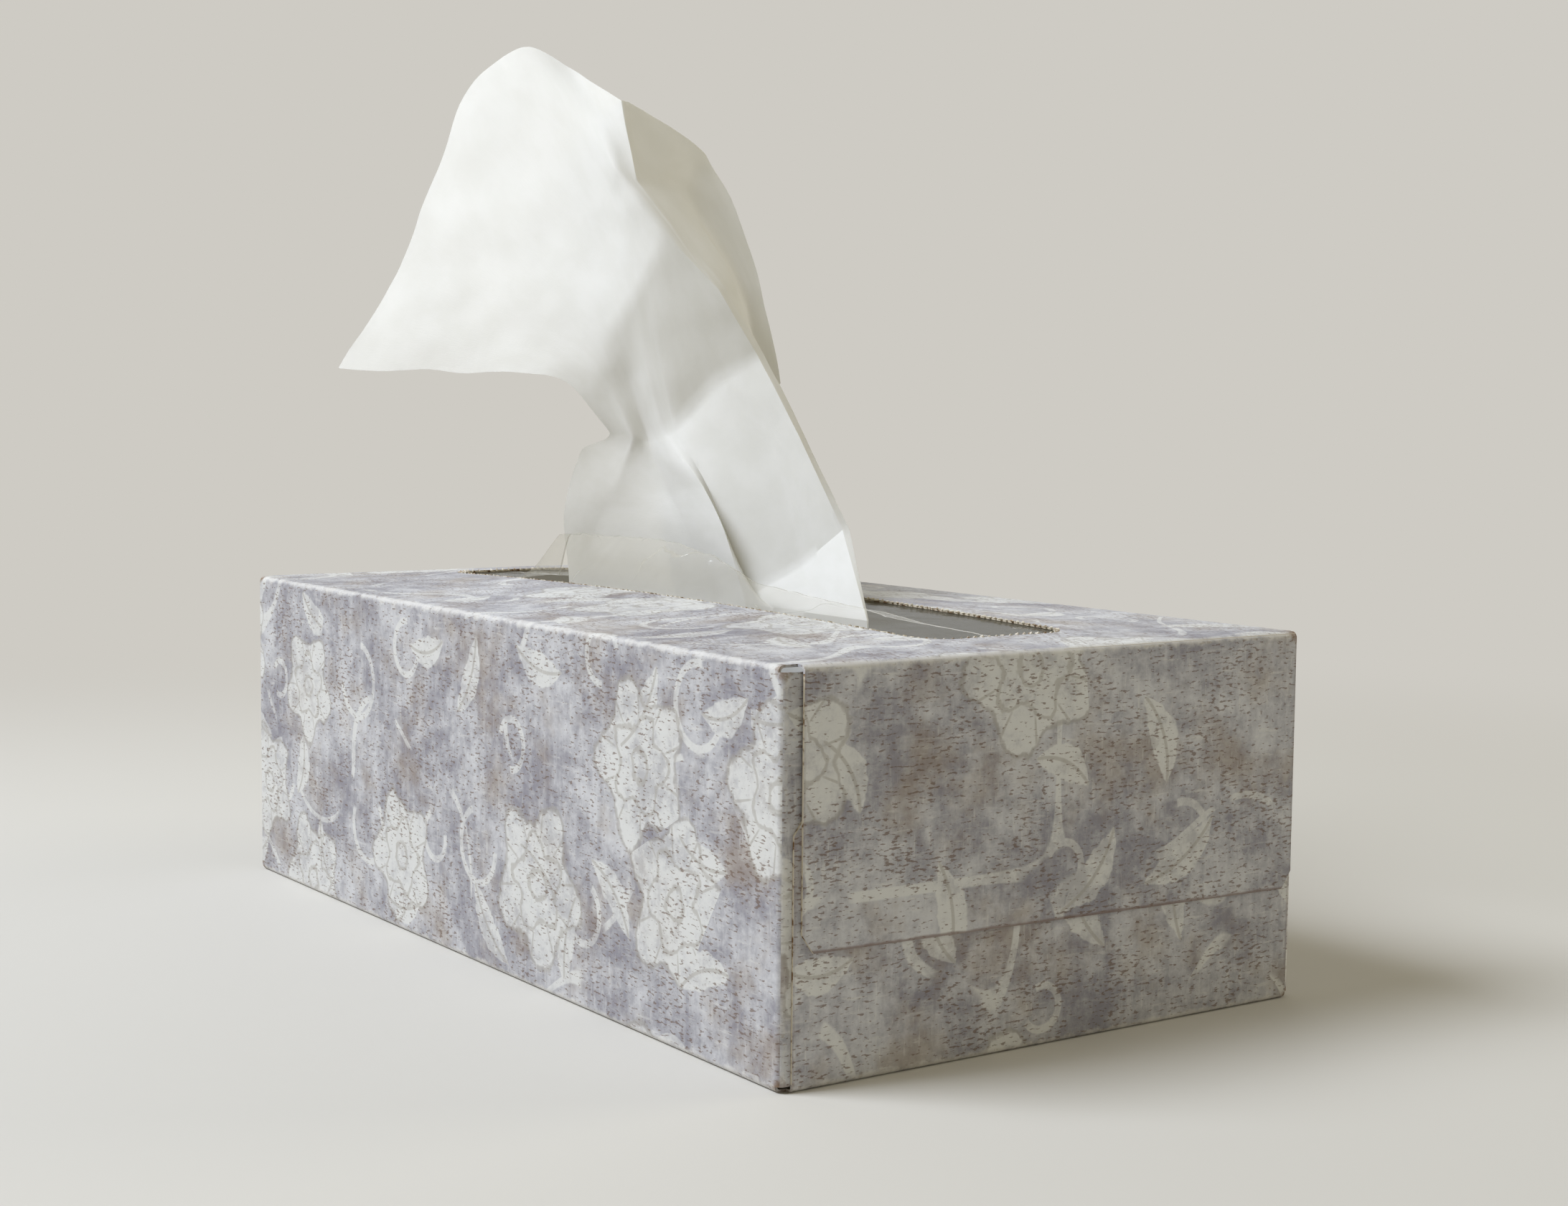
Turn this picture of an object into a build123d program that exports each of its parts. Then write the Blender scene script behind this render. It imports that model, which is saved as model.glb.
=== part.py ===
"""A box of facial tissues: the glued carton, its film window, the stack, and a tissue in the slit."""

import os

from build123d import *

os.makedirs("parts", exist_ok=True)

# Carton: outside sizes, and the board that it is folded from
carton_length = 230.0
carton_width = 123.0
carton_height = 73.0
board = 0.5
fold_radius = 1.2
top_crown = 2.8

# Flaps at both ends, glued one over the other, and the lap that closes the tube
top_flap_depth = 50.0
top_flap_relief = 2.7
top_flap_shift = 1.2
top_flap_skew = 1.4
bottom_flap_depth = 47.5
bottom_flap_relief = 2.0
bottom_flap_shift = 0.4
dust_flap_gap = 19.0
flap_corner_width = 2.4
flap_corner_height = 3.4
glue_lap_depth = 14.0
glue_lap_relief = 9.0

# Opening torn out of the top panel
opening_end_margin = 17.0
opening_width = 36.0
opening_corner = 8.0

# Film glued under the opening, and the slit whose lips stand up round the tissue
film_thickness = 0.2
film_border = 6.0
film_clearance = 0.05
slit_left_margin = 25.0
slit_right_margin = 38.0
slit_gap = 12.0
lip_height = 12.5
lip_rim = 0.6
lip_foot = 1.7

# Tissues left in the box
stack_end_room = 7.0
stack_side_room = 8.0
stack_height = 46.0
stack_fold_radius = 4.0

# Tissue that stands in the slit: how far it reaches, sways and rises, and its hidden tail
tissue_thickness = 0.3
tissue_reach = 100.0
tissue_sway = 50.0
tissue_rise = 126.0
tissue_above_lip = 4.0
tail_edge_room = 4.0
tail_layer_gap = 1.2
tail_clearance = 0.1

# Worked out from the sizes above
half_length = carton_length / 2
half_width = carton_width / 2
bottom_face = half_length - board
dust_face = bottom_face - board
cavity_end = dust_face - board
cavity_side = half_width - board
panel_end = dust_face - fold_radius
panel_half = half_width - fold_radius
crease_radius = (fold_radius - board) / 2
opening_length = carton_length - 2 * opening_end_margin
film_half_width = opening_width / 2 + film_border
film_half_length = opening_length / 2 + film_border
slit_half = (opening_length - slit_left_margin - slit_right_margin) / 2
slit_shift = (slit_left_margin - slit_right_margin) / 2
gap_half = slit_gap / 2
lip_top = carton_height + lip_height
bend_height = lip_height + tissue_above_lip
stack_length = 2 * (cavity_end - stack_end_room)
stack_width = 2 * (cavity_side - stack_side_room)
stack_top = board + stack_height
tail_length = stack_width / 2 - tail_edge_room
tail_level = stack_top + tail_clearance + tissue_thickness / 2

# How high the film's lips stand along the slit: places as shares of half the slit from its middle,
# heights as shares of the lips' height
lip_line_shares = (
    (-1.22, 0.02),
    (-1.02, 0.80),
    (-0.36, 1.0),
    (-0.05, 1.0),
    (0.22, 0.76),
    (0.44, 0.36),
    (1.0, 0.10),
    (1.2, 0.02),
)

# How high the rear lip stands, as a share of the front one
rear_lip_share = 0.12
film_end_share = 0.004

# The most that a mitre at a fold of the tissue is drawn out, as a share of half its thickness
mitre_limit_share = 2.5

# Fold lines of the tissue, from its left edge round to its right one. Where each passes the slit, and
# where it bends above the lips: shares of half the slit, of half its gap and of the height of that bend
slit_shares = (
    ((-0.95, -0.05), (-0.90, 0.0, 1.0)),
    ((-0.86, -0.12), (-0.67, -0.25, 1.0)),
    ((0.04, -0.33), (-0.11, -0.33, 1.0)),
    ((0.35, -0.72), (0.23, -0.75, 1.0)),
    ((0.44, -0.12), (0.33, -0.33, 0.15)),
    ((0.70, -0.08), (0.42, 1.22, 0.55)),
    ((0.935, -0.10), (0.48, 2.52, 1.0)),
    ((0.925, 0.03), (0.49, 2.75, 1.0)),
    ((0.60, 0.45), (0.32, 1.95, 1.0)),
    ((0.18, 0.58), (0.04, 1.25, 1.0)),
    ((-0.22, 0.62), (-0.23, 0.83, 1.0)),
)

# The same fold lines above the lips, at the stem, the neck, the bend, the brow and the free edge:
# shares of the reach, the sway and the rise
stem_shares = (
    (-0.62, 0.0, 0.25),
    (-0.41, -0.04, 0.20),
    (-0.185, -0.05, 0.19),
    (0.01, -0.10, 0.20),
    (-0.03, -0.03, 0.20),
    (0.065, 0.21, 0.228),
    (0.087, 0.34, 0.288),
    (0.074, 0.39, 0.286),
    (-0.006, 0.44, 0.267),
    (-0.093, 0.36, 0.238),
    (-0.20, 0.24, 0.20),
)
neck_shares = (
    (-0.39, -0.1, 0.29),
    (-0.269, -0.12, 0.28),
    (-0.226, -0.099, 0.28),
    (-0.174, -0.078, 0.29),
    (-0.163, -0.038, 0.3),
    (-0.122, 0.132, 0.38),
    (-0.071, 0.288, 0.431),
    (-0.08, 0.333, 0.432),
    (-0.166, 0.4, 0.451),
    (-0.179, 0.48, 0.381),
    (-0.215, 0.41, 0.29),
)
bend_shares = (
    (-0.411, -0.27, 0.37),
    (-0.366, -0.22, 0.42),
    (-0.333, -0.18, 0.47),
    (-0.294, -0.12, 0.521),
    (-0.262, -0.079, 0.574),
    (-0.223, -0.023, 0.639),
    (-0.149, 0.174, 0.55),
    (-0.161, 0.229, 0.551),
    (-0.254, 0.377, 0.583),
    (-0.275, 0.5, 0.506),
    (-0.226, 0.5, 0.325),
)
brow_shares = (
    (-0.766, -0.5, 0.4),
    (-0.664, -0.41, 0.512),
    (-0.577, -0.3, 0.613),
    (-0.477, -0.16, 0.693),
    (-0.418, -0.085, 0.731),
    (-0.355, -0.055, 0.779),
    (-0.363, 0.0, 0.748),
    (-0.378, 0.05, 0.749),
    (-0.4, 0.32, 0.738),
    (-0.305, 0.54, 0.562),
    (-0.221, 0.56, 0.358),
)
edge_shares = (
    (-1.14, -0.80, 0.406),
    (-0.998, -0.56, 0.628),
    (-0.955, -0.45, 0.779),
    (-0.866, -0.30, 0.972),
    (-0.727, -0.16, 1.02),
    (-0.593, -0.07, 0.968),
    (-0.454, 0.03, 0.905),
    (-0.461, 0.075, 0.903),
    (-0.433, 0.47, 0.815),
    (-0.304, 0.60, 0.589),
    (-0.217, 0.62, 0.38),
)

# How far up in the tail's two layers each fold line lies: the front layer, then the back layer over it
tail_layer_shares = (0.0, 0.0, 0.0, 0.0, 0.0, 0.0, 0.3, 0.7, 1.0, 1.0, 1.0)


def side_section():
    """A long side seen from above, with the dust flap at each of its ends."""
    tip = -dust_flap_gap / 2
    with BuildSketch(Plane.XY.offset(fold_radius)) as section:
        with BuildLine():
            outside = FilletPolyline(
                (-dust_face, tip),
                (-dust_face, -half_width),
                (dust_face, -half_width),
                (dust_face, tip),
                radius=fold_radius,
            )
            inside = FilletPolyline(
                (-cavity_end, tip),
                (-cavity_end, -cavity_side),
                (cavity_end, -cavity_side),
                (cavity_end, tip),
                radius=fold_radius - board,
            )
            Line(outside @ 0, inside @ 0)
            Line(outside @ 1, inside @ 1)
        make_face()
    return section.sketch


def long_fold_section():
    """The bottom panel and the four folds along the tube."""
    with BuildSketch(Plane.YZ.offset(-panel_end)) as section:
        with Locations((0, carton_height / 2)):
            RectangleRounded(carton_width, carton_height, fold_radius)
            inner_sizes = (carton_width - 2 * board, carton_height - 2 * board)
            RectangleRounded(*inner_sizes, fold_radius - board, mode=Mode.SUBTRACT)
            Rectangle(carton_width, carton_height - 2 * fold_radius, mode=Mode.SUBTRACT)
        with Locations((0, carton_height - board / 2)):
            Rectangle(2 * panel_half, board, mode=Mode.SUBTRACT)
    return section.sketch


def bowed_line(level, crown):
    """A line across the top panel, level at both folds and bowed up in the middle."""
    for side in (-1, 1):
        Bezier(
            (side * panel_half, level),
            (side * panel_half * 2 / 3, level),
            (side * panel_half / 3, level + crown),
            (0, level + crown),
        )


def top_panel_section(place, crown):
    """The top panel's section at one place along the carton."""
    inside = carton_height - board
    with BuildSketch(Plane.YZ.offset(place)) as section:
        with BuildLine():
            bowed_line(carton_height, crown)
            bowed_line(inside, crown)
            for side in (-1, 1):
                Line((side * panel_half, inside), (side * panel_half, carton_height))
        make_face()
    return section.sketch


def fold_section(face, hinge, inward, relief, shift):
    """The rounded fold between a panel and its flap, squeezed inside. Inward is up or down from the hinge."""
    low = hinge + inward * 2 * fold_radius
    inner = hinge + inward * board
    with BuildSketch(Plane.XZ.offset(relief - half_width - shift)) as section:
        with BuildLine():
            outside = FilletPolyline((panel_end, hinge), (face, hinge), (face, low), radius=fold_radius)
            inside = FilletPolyline(
                (panel_end, inner),
                (face - board, inner),
                (face - board, low),
                radius=crease_radius,
            )
            Line(outside @ 0, inside @ 0)
            Line(outside @ 1, inside @ 1)
        make_face()
    return section.sketch


def flap_outline(face, hinge, depth, inward, relief, shift, skew):
    """A flap seen from the end: its free edge can run askew, and its corners there are cut off."""
    near = shift - half_width + relief
    far = shift + half_width - relief
    root = hinge + inward * fold_radius
    tip = hinge + inward * depth
    corner = inward * flap_corner_height
    with BuildSketch(Plane.YZ.offset(face - board)) as outline:
        with BuildLine():
            Polyline(
                (near, root),
                (near, tip + skew - corner),
                (near + flap_corner_width, tip + skew),
                (far - flap_corner_width, tip - skew),
                (far, tip - skew - corner),
                (far, root),
                close=True,
            )
        make_face()
    return outline.sketch


def film_level(place, side):
    """The middle of the film's thickness where it lies under the bowed top panel."""
    rise = 1 - side / panel_half
    bow = (1 - (place / panel_end) ** 2) * rise**2 * (3 - 2 * rise)
    return carton_height - board + top_crown * bow - film_clearance - film_thickness / 2


def film_section(place, rise):
    """The film's section at one place along it: flat under the panel, and drawn up to the lips."""
    foot = opening_width / 2 - lip_foot
    lip = gap_half + lip_rim
    glued = film_level(place, film_half_width)
    level = film_level(place, foot)
    crest = level + rise * (lip_top - level)
    rear_crest = level + rear_lip_share * rise * (lip_top - level)
    half = film_thickness / 2
    line = [
        (-film_half_width, glued),
        (-foot, level),
        (-lip, crest),
        (lip, rear_crest),
        (foot, level),
        (film_half_width, glued),
    ]
    above = [(y, z + half) for y, z in line]
    below = [(y, z - half) for y, z in reversed(line)]
    with BuildSketch(Plane.YZ.offset(place)) as section:
        with BuildLine():
            Polyline(*above, *below, close=True)
        make_face()
    return section.sketch


def tissue_line(index):
    """The points of one fold line, from its hidden tail up through the slit to the free edge."""
    (slit_x, slit_y), (lip_x, lip_y, lip_z) = slit_shares[index]
    x = slit_shift + slit_x * slit_half
    y = slit_y * gap_half
    lie = tail_level + tail_layer_shares[index] * tail_layer_gap
    points = [
        Vector(x, y + tail_length, lie),
        Vector(x, y, lie),
        Vector(x, y, carton_height),
        Vector(slit_shift + lip_x * slit_half, lip_y * gap_half, carton_height + lip_z * bend_height),
    ]
    for shares in (stem_shares, neck_shares, bend_shares, brow_shares, edge_shares):
        along, across, up = shares[index]
        height = carton_height + up * tissue_rise
        points.append(Vector(along * tissue_reach, across * tissue_sway, height))
    return points


def cell_normal(lines, i, j):
    """The direction that one cell between two fold lines faces."""
    rise = lines[i + 1][j + 1] - lines[i][j]
    run = lines[i + 1][j] - lines[i][j + 1]
    return rise.cross(run).normalized()


def sheet_offset(lines, i, j):
    """Half the tissue's thickness at one point, mitred between the cells that meet there."""
    columns = range(max(i - 1, 0), min(i, len(lines) - 2) + 1)
    rows = range(max(j - 1, 0), min(j, len(lines[0]) - 2) + 1)
    normals = [cell_normal(lines, column, row) for column in columns for row in rows]
    middle = sum(normals, Vector()).normalized()
    lean = min(abs(middle.dot(normal)) for normal in normals)
    drawn_out = 1 / max(lean, 1 / mitre_limit_share)
    return middle * drawn_out * tissue_thickness / 2


def ruled(start, end, other_start, other_end):
    """A face ruled between two straight edges."""
    edges = (Edge.make_line(start, end), Edge.make_line(other_start, other_end))
    return Face.make_surface_from_curves(*edges)


def sheet_faces(lines):
    """The faces of a thin sheet that follows its fold lines: two sides and a rim."""
    columns = range(len(lines))
    rows = range(len(lines[0]))
    front = [[lines[i][j] + sheet_offset(lines, i, j) for j in rows] for i in columns]
    back = [[lines[i][j] - sheet_offset(lines, i, j) for j in rows] for i in columns]
    faces = []
    for side in (front, back):
        for i in columns[:-1]:
            for j in rows[:-1]:
                faces.append(ruled(side[i][j], side[i][j + 1], side[i + 1][j], side[i + 1][j + 1]))
    for i in (columns[0], columns[-1]):
        for j in rows[:-1]:
            faces.append(ruled(front[i][j], front[i][j + 1], back[i][j], back[i][j + 1]))
    for j in (rows[0], rows[-1]):
        for i in columns[:-1]:
            faces.append(ruled(front[i][j], front[i + 1][j], back[i][j], back[i + 1][j]))
    return faces


# Outer flaps with their folds: the pair at the near end, then the same at the far end
with BuildPart() as flaps:
    bottom_sides = (bottom_flap_relief, bottom_flap_shift)
    extrude(fold_section(bottom_face, 0, 1, *bottom_sides), amount=carton_width - 2 * bottom_flap_relief)
    extrude(flap_outline(bottom_face, 0, bottom_flap_depth, 1, *bottom_sides, 0), amount=board)
    top_sides = (top_flap_relief, top_flap_shift)
    top_place = (half_length, carton_height)
    extrude(fold_section(*top_place, -1, *top_sides), amount=carton_width - 2 * top_flap_relief)
    extrude(flap_outline(*top_place, top_flap_depth, -1, *top_sides, top_flap_skew / 2), amount=board)
    mirror(about=Plane.YZ)

# Carton: one board, folded into a tube and closed by its glued flaps
with BuildPart() as carton:
    extrude(side_section(), amount=carton_height - 2 * fold_radius)
    mirror(about=Plane.XZ)
    extrude(long_fold_section(), amount=2 * panel_end)
    loft(sections=[top_panel_section(end * panel_end, (1 - end**2) * top_crown) for end in (-1, 0, 1)])
    add(flaps.part)
    # Lap that closes the tube, inside the rear panel
    with Locations((0, cavity_side - board / 2, fold_radius + glue_lap_depth / 2)):
        Box(carton_length - 2 * glue_lap_relief, board, glue_lap_depth)
    # Dispensing opening
    with BuildSketch(Plane.XY.offset(carton_height - 2 * board)):
        RectangleRounded(opening_length, opening_width, opening_corner)
    extrude(amount=2 * (board + top_crown), mode=Mode.SUBTRACT)
carton.part.label = "carton"
export_step(carton.part, "parts/carton.step")

# Film window: glued under the top panel, with its slit drawn open by the tissue
with BuildPart() as film_window:
    stations = [(-film_half_length, film_end_share)]
    stations += [(slit_shift + place * slit_half, rise) for place, rise in lip_line_shares]
    stations += [(film_half_length, film_end_share)]
    loft(sections=[film_section(place, rise) for place, rise in stations], ruled=True)
    with BuildSketch(Plane.XY.offset(carton_height - board)):
        with Locations((slit_shift, 0)):
            Ellipse(slit_half, gap_half)
    extrude(amount=lip_height + 2 * board, mode=Mode.SUBTRACT)
film_window.part.label = "film_window"
export_step(film_window.part, "parts/film_window.step")

# Stack of interfolded tissues on the bottom panel
with BuildPart() as tissue_stack:
    with BuildSketch(Plane.YZ.offset(-stack_length / 2)):
        with Locations((0, board + stack_height / 2)):
            RectangleRounded(stack_width, stack_height, stack_fold_radius)
    extrude(amount=stack_length)
tissue_stack.part.label = "tissue_stack"
export_step(tissue_stack.part, "parts/tissue_stack.step")

# Tissue that stands in the slit: one sheet, gathered and folded
with BuildPart() as popup_tissue:
    fold_lines = [tissue_line(index) for index in range(len(slit_shares))]
    add(Solid(Shell(sheet_faces(fold_lines))))
popup_tissue.part.label = "popup_tissue"
export_step(popup_tissue.part, "parts/popup_tissue.step")
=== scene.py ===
"""Looks of the tissue box: printed carton, film window, tissue stack and the tissue in the slit."""

import logging
import math
from collections.abc import Callable
from dataclasses import dataclass
from enum import Enum

import bpy
import numpy as np
from mathutils import Matrix, Vector, noise


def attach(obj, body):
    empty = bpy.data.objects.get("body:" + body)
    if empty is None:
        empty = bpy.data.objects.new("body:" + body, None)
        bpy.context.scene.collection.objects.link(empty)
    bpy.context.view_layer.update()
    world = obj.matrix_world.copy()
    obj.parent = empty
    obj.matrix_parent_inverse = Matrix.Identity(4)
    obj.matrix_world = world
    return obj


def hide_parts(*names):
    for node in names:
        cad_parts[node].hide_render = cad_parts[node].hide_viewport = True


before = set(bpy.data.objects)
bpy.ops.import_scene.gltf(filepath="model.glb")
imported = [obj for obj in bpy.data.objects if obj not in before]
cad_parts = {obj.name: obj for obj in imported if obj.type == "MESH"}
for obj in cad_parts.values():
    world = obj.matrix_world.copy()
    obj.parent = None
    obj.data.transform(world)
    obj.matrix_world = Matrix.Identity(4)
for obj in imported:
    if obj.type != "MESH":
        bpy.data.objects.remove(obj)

log = logging.getLogger("tissue_box")

MM = 0.001
FULL_TURN = 6.28
HALF_TURN = 3.14
Triple = tuple[float, float, float]
Rgba = tuple[float, float, float, float]
Shares = tuple[tuple[float, ...], ...]
Socket = bpy.types.NodeSocket
Piece = bpy.types.Object
COOL: Triple = (0.94, 1.0, 1.12)
WARM: Triple = (1.0, 0.955, 0.86)


class Slot(Enum):
    """Material slots, by name."""

    BOARD = "printed_board"
    FILM = "clear_film"
    PAPER = "tissue_paper"


class Blend(Enum):
    """What a mix node mixes, with the places of its two inputs and its output."""

    NUMBER = ("FLOAT", 2, 3, 0)
    COLOUR = ("RGBA", 6, 7, 2)


def tone(red: int, green: int, blue: int) -> Rgba:
    """Makes a colour as it shows on a screen linear for a shader.

    Args:
        red: Its red from 0 to 255.
        green: Its green from 0 to 255.
        blue: Its blue from 0 to 255.

    Returns:
        The linear colour, opaque.
    """
    shares = [value / 255 for value in (red, green, blue)]
    linear = [s / 12.92 if s <= 0.04045 else ((s + 0.055) / 1.055) ** 2.4 for s in shares]
    return (*linear, 1.0)


def reckoned(operation: str) -> Callable[["Value", "Feed"], "Value"]:
    """Makes an operator of Value that adds a math node.

    Args:
        operation: The math node's operation.

    Returns:
        The operator.
    """

    def apply(value: "Value", other: "Feed") -> "Value":
        """Works out the operation."""
        return value.nodes.math(operation, value, other)

    return apply


class Value:
    """What a node gives, so that sums of nodes read as plain arithmetic.

    The larger of two is a | b, the smaller one a & b, and a comparison gives 1 or 0.
    """

    __add__, __sub__ = reckoned("ADD"), reckoned("SUBTRACT")
    __mul__, __truediv__ = reckoned("MULTIPLY"), reckoned("DIVIDE")
    __or__, __and__ = reckoned("MAXIMUM"), reckoned("MINIMUM")
    __gt__, __lt__ = reckoned("GREATER_THAN"), reckoned("LESS_THAN")

    def __init__(self, nodes: "Nodes", socket: Socket) -> None:
        """Holds one output of a node."""
        self.nodes, self.socket = nodes, socket

    def __rsub__(self, other: float) -> "Value":
        """The difference from a plain number."""
        return self.nodes.math("SUBTRACT", other, self)

    def __abs__(self) -> "Value":
        """Its size without its sign."""
        return self.nodes.math("ABSOLUTE", self)


Feed = float | tuple | Socket | Value
Inputs = dict | enumerate | tuple


class Nodes:
    """A node tree, with short calls for the nodes that materials and geometry share."""

    def __init__(self, tree: bpy.types.NodeTree) -> None:
        """Holds the tree."""
        self.tree = tree

    def feed(self, socket: Socket, value: Feed) -> None:
        """Links a socket to what another node gives, or sets its own value.

        Args:
            socket: The input socket.
            value: What goes into it.
        """
        source = value.socket if isinstance(value, Value) else value
        if isinstance(source, Socket):
            self.tree.links.new(source, socket)
        else:
            socket.default_value = source

    def node(self, kind: str, inputs: Inputs = (), **settings: object) -> bpy.types.Node:
        """Adds a node.

        Args:
            kind: The node's type name.
            inputs: What goes into its sockets, by name or number.
            settings: Properties of the node.

        Returns:
            The new node.
        """
        made = self.tree.nodes.new(kind)
        for name, setting in settings.items():
            setattr(made, name, setting)
        for key, value in dict(inputs).items():
            self.feed(made.inputs[key], value)
        return made

    def value(self, kind: str, inputs: Inputs = (), out: int | str = 0, **settings: object) -> Value:
        """Adds a node in the same way, and gives one of its outputs."""
        return Value(self, self.node(kind, inputs, **settings).outputs[out])

    def math(self, operation: str, *values: Feed, clamp: bool = False) -> Value:
        """Works out one number, kept between 0 and 1 with clamp."""
        return self.value("ShaderNodeMath", enumerate(values), operation=operation, use_clamp=clamp)

    def vector(self, operation: str, *values: Feed) -> Value:
        """Works out one vector."""
        return self.value("ShaderNodeVectorMath", enumerate(values), operation=operation)

    def split(self, vector: Feed) -> list[Value]:
        """The three parts of a vector."""
        parts = self.node("ShaderNodeSeparateXYZ", {0: vector}).outputs
        return [Value(self, part) for part in parts]

    def joined(self, x: Feed, y: Feed, z: Feed = 0.0) -> Value:
        """A vector from three numbers."""
        return self.value("ShaderNodeCombineXYZ", enumerate((x, y, z)))

    def mix(self, blend: Blend, share: Feed, first: Feed, second: Feed) -> Value:
        """Mixes two values: only the first one at a share of 0, only the second at 1."""
        kind, low, high, out = blend.value
        return self.value("ShaderNodeMix", {0: share, low: first, high: second}, out, data_type=kind)

    def between(self, share: Feed, first: Feed, second: Feed) -> Value:
        """A number between two."""
        return self.mix(Blend.NUMBER, share, first, second)

    def layer(self, share: Feed, under: Feed, over: Feed) -> Value:
        """A colour laid over another one."""
        return self.mix(Blend.COLOUR, share, under, over)


class Shading(Nodes):
    """A material's node tree, with short calls for the nodes that the finishes share."""

    def __init__(self, name: str) -> None:
        """Starts an empty material.

        Args:
            name: The material's name.
        """
        self.material = bpy.data.materials.new(name)
        self.material.use_nodes = True
        super().__init__(self.material.node_tree)
        self.tree.nodes.clear()
        self.output = self.node("ShaderNodeOutputMaterial")

    def scaled(self, vector: Feed, scale: Feed) -> Value:
        """A vector times a number."""
        return self.value("ShaderNodeVectorMath", {0: vector, "Scale": scale}, operation="SCALE")

    def length(self, vector: Feed) -> Value:
        """The length of a vector."""
        return self.value("ShaderNodeVectorMath", {0: vector}, "Value", operation="LENGTH")

    def ramp(self, value: Feed, low: float, high: float, start: Feed = 0.0, end: Feed = 1.0) -> Value:
        """Maps a range softly onto another one.

        Args:
            value: The number to map.
            low: Where the range starts.
            high: Where it ends, below low for a falling ramp.
            start: The result at low.
            end: The result at high.

        Returns:
            The mapped number, never outside start and end.
        """
        inputs = enumerate((value, low, high, start, end))
        return self.value("ShaderNodeMapRange", inputs, interpolation_type="SMOOTHSTEP", clamp=True)

    def noise(self, vector: Feed, size: float, detail: float = 2.0, roughness: float = 0.5) -> Value:
        """Soft noise whose lumps are about as large as size, in the units of the vector."""
        inputs = {"Vector": vector, "Scale": 1 / size, "Detail": detail, "Roughness": roughness}
        return self.value("ShaderNodeTexNoise", inputs)

    def grain(self, vector: Feed, fineness: Triple, detail: float, roughness: float) -> Value:
        """Noise that is drawn out: it has a fineness of its own along each axis."""
        return self.noise(self.vector("MULTIPLY", vector, fineness), 1.0, detail, roughness)

    def cells(self, vector: Feed, size: float, scatter: float) -> tuple[Value, Value]:
        """Scattered cells on a flat plane.

        Args:
            vector: The place on the plane.
            size: The cells' size.
            scatter: How far their middles leave a square grid, from 0 to 1.

        Returns:
            The place from the nearest middle, and that cell's random colour.
        """
        inputs = {"Vector": vector, "Scale": 1 / size, "Randomness": scatter}
        made = self.node("ShaderNodeTexVoronoi", inputs, voronoi_dimensions="2D", feature="F1")
        middle, colour = made.outputs["Position"], made.outputs["Color"]
        return self.vector("SUBTRACT", vector, middle), Value(self, colour)

    def place(self) -> Value:
        """The place on the object, in millimetres."""
        return self.scaled(self.value("ShaderNodeTexCoord", out="Object"), 1 / MM)

    def chart(self) -> Value:
        """The place on a sheet's own flat coordinates."""
        return self.value("ShaderNodeUVMap", uv_map="flat")

    def bump(self, height: Feed, strength: float, depth: float) -> Value:
        """A bumped normal, with the bumps' depth in millimetres."""
        inputs = {"Height": height, "Strength": strength, "Distance": depth * MM}
        return self.value("ShaderNodeBump", inputs)

    def principled(self, **inputs: Feed) -> Value:
        """The main shader, with its inputs by name, underscores for spaces."""
        named = {name.replace("_", " "): value for name, value in inputs.items()}
        return self.value("ShaderNodeBsdfPrincipled", named)

    def blended(self, share: Feed, first: Value, second: Value) -> Value:
        """Two shaders mixed, only the second one at a share of 1."""
        return self.value("ShaderNodeMixShader", {0: share, 1: first, 2: second})

    def show(self, shader: Value) -> bpy.types.Material:
        """Puts a shader on the surface and gives the material."""
        self.feed(self.output.inputs["Surface"], shader)
        return self.material


@dataclass(frozen=True)
class CartonSizes:
    """Outside sizes of the carton and of its opening, in millimetres."""

    length: float = 230.0
    width: float = 123.0
    height: float = 73.0
    board: float = 0.5
    crown: float = 2.8
    panel_end: float = 112.8
    panel_half: float = 60.3
    opening_length: float = 196.0
    opening_width: float = 36.0
    opening_corner: float = 8.0
    top_flap_near: float = -57.6
    top_flap_far: float = 60.0
    top_flap_tip: float = 23.0
    top_flap_slope: float = 0.0124
    low_flap_near: float = -59.1
    low_flap_far: float = 59.9

    def top_level(self, x: float, y: float) -> float:
        """The height of the bowed top panel at one place."""
        rise = max(1 - abs(y) / self.panel_half, 0.0)
        return self.height + self.crown * (1 - (x / self.panel_end) ** 2) * rise**2 * (3 - 2 * rise)


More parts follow.
